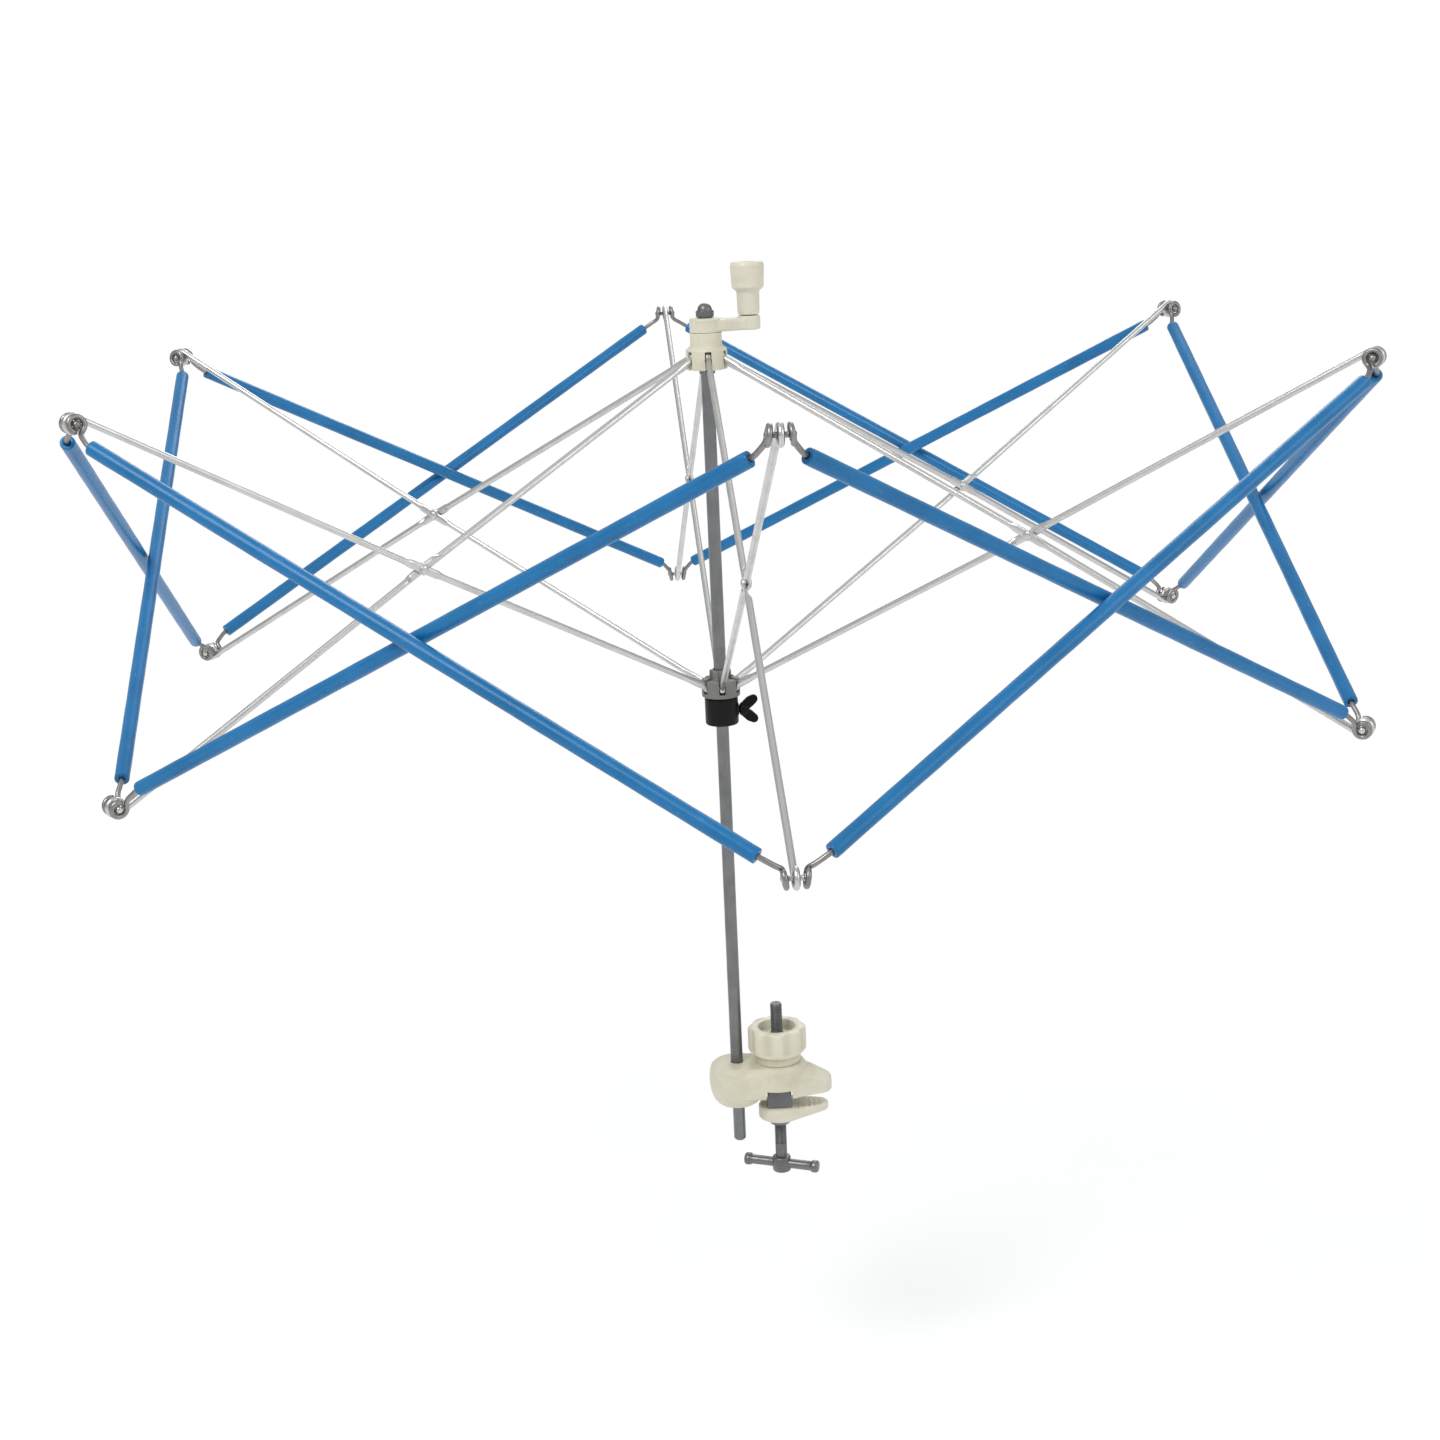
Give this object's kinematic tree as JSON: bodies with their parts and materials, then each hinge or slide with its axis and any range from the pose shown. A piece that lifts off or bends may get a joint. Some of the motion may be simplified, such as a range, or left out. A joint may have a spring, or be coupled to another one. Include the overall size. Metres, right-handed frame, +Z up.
{
  "type": "umbrella yarn swift",
  "caption": "Folding umbrella swift: hinged wire ribs carry blue-sleeved arms in a zigzag rim that spins on a clamped centre shaft with a crank knob.",
  "frame": {"origin": "centre of the upper jaw's downward gripping face, where it rests on the table top", "axes": "+Z up along the shaft; +X from the shaft out over the table along the jaws; +Y completes the right-handed set"},
  "size_m": [0.5584, 0.6092, 0.4514],
  "materials": {
    "steel_rod": "satin, lightly tarnished",
    "rib_wire": "bright drawn wire",
    "hub_cream": "aged cream moulding",
    "hub_grey": "grey moulding",
    "collar_black": "black moulding",
    "sleeve_blue": "soft blue tube",
    "key_grey": "dull grey metal"
  },
  "bodies": {
    "clamp_and_shaft": {"shaft": "steel_rod", "top_nut": "steel_rod", "clamp_body": "hub_cream", "clamp_scalloped_nut": "hub_cream"},
    "head": {"upper_hub": "hub_cream", "upper_hub_pins": "steel_rod", "crank_arm": "hub_cream", "crank_knob_pin": "steel_rod"},
    "knob": {"crank_knob": "hub_cream"},
    "slider": {"lower_hub": "hub_grey", "lower_hub_pins": "steel_rod"},
    "collar": {"stop_collar": "collar_black"},
    "wing_screw": {"thumb_screw": "collar_black", "thumb_screw_stud": "steel_rod"},
    "lower_jaw": {"clamp_jaw": "hub_cream", "clamp_key_block": "key_grey"},
    "t_screw": {"clamp_screw": "steel_rod", "clamp_t_bar": "steel_rod"},
    "upper_rib_1": {"upper_rib_1": "rib_wire"},
    "lower_rib_1": {"lower_rib_1": "rib_wire"},
    "rim_pin_1": {"corner_pin_1": "rib_wire"},
    "arm_1a": {"arm_wire_1a": "rib_wire", "arm_sleeve_1a": "sleeve_blue"},
    "arm_1b": {"arm_wire_1b": "rib_wire", "arm_sleeve_1b": "sleeve_blue"},
    "upper_rib_2": {"upper_rib_2": "rib_wire"},
    "lower_rib_2": {"lower_rib_2": "rib_wire"},
    "rim_pin_2": {"corner_pin_2": "rib_wire"},
    "arm_2a": {"arm_wire_2a": "rib_wire", "arm_sleeve_2a": "sleeve_blue"},
    "arm_2b": {"arm_wire_2b": "rib_wire", "arm_sleeve_2b": "sleeve_blue"},
    "upper_rib_3": {"upper_rib_3": "rib_wire"},
    "lower_rib_3": {"lower_rib_3": "rib_wire"},
    "rim_pin_3": {"corner_pin_3": "rib_wire"},
    "arm_3a": {"arm_wire_3a": "rib_wire", "arm_sleeve_3a": "sleeve_blue"},
    "arm_3b": {"arm_wire_3b": "rib_wire", "arm_sleeve_3b": "sleeve_blue"},
    "upper_rib_4": {"upper_rib_4": "rib_wire"},
    "lower_rib_4": {"lower_rib_4": "rib_wire"},
    "rim_pin_4": {"corner_pin_4": "rib_wire"},
    "arm_4a": {"arm_wire_4a": "rib_wire", "arm_sleeve_4a": "sleeve_blue"},
    "arm_4b": {"arm_wire_4b": "rib_wire", "arm_sleeve_4b": "sleeve_blue"},
    "upper_rib_5": {"upper_rib_5": "rib_wire"},
    "lower_rib_5": {"lower_rib_5": "rib_wire"},
    "rim_pin_5": {"corner_pin_5": "rib_wire"},
    "arm_5a": {"arm_wire_5a": "rib_wire", "arm_sleeve_5a": "sleeve_blue"},
    "arm_5b": {"arm_wire_5b": "rib_wire", "arm_sleeve_5b": "sleeve_blue"},
    "upper_rib_6": {"upper_rib_6": "rib_wire"},
    "lower_rib_6": {"lower_rib_6": "rib_wire"},
    "rim_pin_6": {"corner_pin_6": "rib_wire"},
    "arm_6a": {"arm_wire_6a": "rib_wire", "arm_sleeve_6a": "sleeve_blue"},
    "arm_6b": {"arm_wire_6b": "rib_wire", "arm_sleeve_6b": "sleeve_blue"}
  },
  "joints": [
    {"name": "head_spin", "type": "hinge", "parent": "clamp_and_shaft", "child": "head", "pos_m": [-0.036, 0, 0.366], "axis": [0, 0, 1], "continuous": true},
    {"name": "knob_turn", "type": "hinge", "parent": "head", "child": "knob", "pos_m": [-0.01572, 0.00544, 0.39], "axis": [0, 0, 1], "continuous": true},
    {"name": "fold", "type": "hinge", "parent": "head", "child": "upper_rib_1", "pos_m": [-0.03545, -0.00698, 0.366], "axis": [0.9969, 0.0781, 0], "range_deg": [-14, 32]},
    {"name": "rivet_1", "type": "hinge", "parent": "upper_rib_1", "child": "lower_rib_1", "pos_m": [-0.02397, -0.15352, 0.288], "axis": [-0.9969, -0.0781, 0], "range_deg": [-28, 64]},
    {"name": "rim_pin_1_turn", "type": "hinge", "parent": "lower_rib_1", "child": "rim_pin_1", "pos_m": [-0.01249, -0.30005, 0.366], "axis": [0.9969, 0.0781, 0], "range_deg": [-14, 32]},
    {"name": "arm_1a_swing", "type": "hinge", "parent": "rim_pin_1", "child": "arm_1a", "pos_m": [-0.00846, -0.29974, 0.366], "axis": [-0.5661, 0.8243, 0], "range_deg": [-14, 32]},
    {"name": "arm_1b_swing", "type": "hinge", "parent": "rim_pin_1", "child": "arm_1b", "pos_m": [-0.01652, -0.30037, 0.366], "axis": [-0.4308, -0.9024, 0], "range_deg": [-14, 32]},
    {"name": "upper_rib_2_fold", "type": "hinge", "parent": "head", "child": "upper_rib_2", "pos_m": [-0.02968, -0.00302, 0.366], "axis": [0.4308, 0.9024, 0], "range_deg": [-14, 32]},
    {"name": "rivet_2", "type": "hinge", "parent": "upper_rib_2", "child": "lower_rib_2", "pos_m": [0.10296, -0.06634, 0.288], "axis": [-0.4308, -0.9024, 0], "range_deg": [-28, 64]},
    {"name": "rim_pin_2_turn", "type": "hinge", "parent": "lower_rib_2", "child": "rim_pin_2", "pos_m": [0.23561, -0.12967, 0.366], "axis": [0.4308, 0.9024, 0], "range_deg": [-14, 32]},
    {"name": "arm_2a_swing", "type": "hinge", "parent": "rim_pin_2", "child": "arm_2a", "pos_m": [0.23735, -0.12602, 0.366], "axis": [-0.9969, -0.0781, 0], "range_deg": [-14, 32]},
    {"name": "arm_2b_swing", "type": "hinge", "parent": "rim_pin_2", "child": "arm_2b", "pos_m": [0.23387, -0.13331, 0.366], "axis": [0.5661, -0.8243, 0], "range_deg": [-14, 32]},
    {"name": "upper_rib_3_fold", "type": "hinge", "parent": "head", "child": "upper_rib_3", "pos_m": [-0.03023, 0.00396, 0.366], "axis": [-0.5661, 0.8243, 0], "range_deg": [-14, 32]},
    {"name": "rivet_3", "type": "hinge", "parent": "upper_rib_3", "child": "lower_rib_3", "pos_m": [0.09093, 0.08717, 0.288], "axis": [0.5661, -0.8243, 0], "range_deg": [-28, 64]},
    {"name": "rim_pin_3_turn", "type": "hinge", "parent": "lower_rib_3", "child": "rim_pin_3", "pos_m": [0.2121, 0.17039, 0.366], "axis": [-0.5661, 0.8243, 0], "range_deg": [-14, 32]},
    {"name": "arm_3a_swing", "type": "hinge", "parent": "rim_pin_3", "child": "arm_3a", "pos_m": [0.20981, 0.17372, 0.366], "axis": [-0.4308, -0.9024, 0], "range_deg": [-14, 32]},
    {"name": "arm_3b_swing", "type": "hinge", "parent": "rim_pin_3", "child": "arm_3b", "pos_m": [0.21439, 0.16705, 0.366], "axis": [0.9969, 0.0781, 0], "range_deg": [-14, 32]},
    {"name": "upper_rib_4_fold", "type": "hinge", "parent": "head", "child": "upper_rib_4", "pos_m": [-0.03655, 0.00698, 0.366], "axis": [-0.9969, -0.0781, 0], "range_deg": [-14, 32]},
    {"name": "rivet_4", "type": "hinge", "parent": "upper_rib_4", "child": "lower_rib_4", "pos_m": [-0.04803, 0.15352, 0.288], "axis": [0.9969, 0.0781, 0], "range_deg": [-28, 64]},
    {"name": "rim_pin_4_turn", "type": "hinge", "parent": "lower_rib_4", "child": "rim_pin_4", "pos_m": [-0.05951, 0.30005, 0.366], "axis": [-0.9969, -0.0781, 0], "range_deg": [-14, 32]},
    {"name": "arm_4a_swing", "type": "hinge", "parent": "rim_pin_4", "child": "arm_4a", "pos_m": [-0.06354, 0.29974, 0.366], "axis": [0.5661, -0.8243, 0], "range_deg": [-14, 32]},
    {"name": "arm_4b_swing", "type": "hinge", "parent": "rim_pin_4", "child": "arm_4b", "pos_m": [-0.05548, 0.30037, 0.366], "axis": [0.4308, 0.9024, 0], "range_deg": [-14, 32]},
    {"name": "upper_rib_5_fold", "type": "hinge", "parent": "head", "child": "upper_rib_5", "pos_m": [-0.04232, 0.00302, 0.366], "axis": [-0.4308, -0.9024, 0], "range_deg": [-14, 32]},
    {"name": "rivet_5", "type": "hinge", "parent": "upper_rib_5", "child": "lower_rib_5", "pos_m": [-0.17496, 0.06634, 0.288], "axis": [0.4308, 0.9024, 0], "range_deg": [-28, 64]},
    {"name": "rim_pin_5_turn", "type": "hinge", "parent": "lower_rib_5", "child": "rim_pin_5", "pos_m": [-0.30761, 0.12967, 0.366], "axis": [-0.4308, -0.9024, 0], "range_deg": [-14, 32]},
    {"name": "arm_5a_swing", "type": "hinge", "parent": "rim_pin_5", "child": "arm_5a", "pos_m": [-0.30935, 0.12602, 0.366], "axis": [0.9969, 0.0781, 0], "range_deg": [-14, 32]},
    {"name": "arm_5b_swing", "type": "hinge", "parent": "rim_pin_5", "child": "arm_5b", "pos_m": [-0.30587, 0.13331, 0.366], "axis": [-0.5661, 0.8243, 0], "range_deg": [-14, 32]},
    {"name": "upper_rib_6_fold", "type": "hinge", "parent": "head", "child": "upper_rib_6", "pos_m": [-0.04177, -0.00396, 0.366], "axis": [0.5661, -0.8243, 0], "range_deg": [-14, 32]},
    {"name": "rivet_6", "type": "hinge", "parent": "upper_rib_6", "child": "lower_rib_6", "pos_m": [-0.16293, -0.08717, 0.288], "axis": [-0.5661, 0.8243, 0], "range_deg": [-28, 64]},
    {"name": "rim_pin_6_turn", "type": "hinge", "parent": "lower_rib_6", "child": "rim_pin_6", "pos_m": [-0.2841, -0.17039, 0.366], "axis": [0.5661, -0.8243, 0], "range_deg": [-14, 32]},
    {"name": "arm_6a_swing", "type": "hinge", "parent": "rim_pin_6", "child": "arm_6a", "pos_m": [-0.28181, -0.17372, 0.366], "axis": [0.4308, 0.9024, 0], "range_deg": [-14, 32]},
    {"name": "arm_6b_swing", "type": "hinge", "parent": "rim_pin_6", "child": "arm_6b", "pos_m": [-0.28639, -0.16705, 0.366], "axis": [-0.9969, -0.0781, 0], "range_deg": [-14, 32]},
    {"name": "slider_level", "type": "hinge", "parent": "lower_rib_1", "child": "slider", "pos_m": [-0.03545, -0.00698, 0.21], "axis": [0.9969, 0.0781, 0], "range_deg": [-14, 32]},
    {"name": "collar_stays", "type": "hinge", "parent": "slider", "child": "collar", "pos_m": [-0.036, 0, 0.21], "axis": [0, 0, 1], "continuous": true},
    {"name": "wing_screw_turn", "type": "hinge", "parent": "collar", "child": "wing_screw", "pos_m": [-0.026, 0, 0.19795], "axis": [1, 0, 0], "range_deg": [0, 720]},
    {"name": "jaw_travel", "type": "slide", "parent": "clamp_and_shaft", "child": "lower_jaw", "axis": [0, 0, -1], "range_m": [0, 0.01]},
    {"name": "t_screw_turn", "type": "hinge", "parent": "lower_jaw", "child": "t_screw", "pos_m": [-0.0155, 0, -0.03], "axis": [0, 0, 1], "range_deg": [0, 3600]}
  ],
  "couplings": [
    {"joint": "rivet_1", "follows": "fold", "ratio": 2},
    {"joint": "rim_pin_1_turn", "follows": "fold", "ratio": 1},
    {"joint": "arm_1a_swing", "follows": "fold", "ratio": 1},
    {"joint": "arm_1b_swing", "follows": "fold", "ratio": 1},
    {"joint": "upper_rib_2_fold", "follows": "fold", "ratio": 1},
    {"joint": "rivet_2", "follows": "fold", "ratio": 2},
    {"joint": "rim_pin_2_turn", "follows": "fold", "ratio": 1},
    {"joint": "arm_2a_swing", "follows": "fold", "ratio": 1},
    {"joint": "arm_2b_swing", "follows": "fold", "ratio": 1},
    {"joint": "upper_rib_3_fold", "follows": "fold", "ratio": 1},
    {"joint": "rivet_3", "follows": "fold", "ratio": 2},
    {"joint": "rim_pin_3_turn", "follows": "fold", "ratio": 1},
    {"joint": "arm_3a_swing", "follows": "fold", "ratio": 1},
    {"joint": "arm_3b_swing", "follows": "fold", "ratio": 1},
    {"joint": "upper_rib_4_fold", "follows": "fold", "ratio": 1},
    {"joint": "rivet_4", "follows": "fold", "ratio": 2},
    {"joint": "rim_pin_4_turn", "follows": "fold", "ratio": 1},
    {"joint": "arm_4a_swing", "follows": "fold", "ratio": 1},
    {"joint": "arm_4b_swing", "follows": "fold", "ratio": 1},
    {"joint": "upper_rib_5_fold", "follows": "fold", "ratio": 1},
    {"joint": "rivet_5", "follows": "fold", "ratio": 2},
    {"joint": "rim_pin_5_turn", "follows": "fold", "ratio": 1},
    {"joint": "arm_5a_swing", "follows": "fold", "ratio": 1},
    {"joint": "arm_5b_swing", "follows": "fold", "ratio": 1},
    {"joint": "upper_rib_6_fold", "follows": "fold", "ratio": 1},
    {"joint": "rivet_6", "follows": "fold", "ratio": 2},
    {"joint": "rim_pin_6_turn", "follows": "fold", "ratio": 1},
    {"joint": "arm_6a_swing", "follows": "fold", "ratio": 1},
    {"joint": "arm_6b_swing", "follows": "fold", "ratio": 1},
    {"joint": "slider_level", "follows": "fold", "ratio": 1},
    {"joint": "collar_stays", "follows": "head_spin", "ratio": -1},
    {"joint": "t_screw_turn", "follows": "jaw_travel", "rad_per_m": 6283.2}
  ]
}
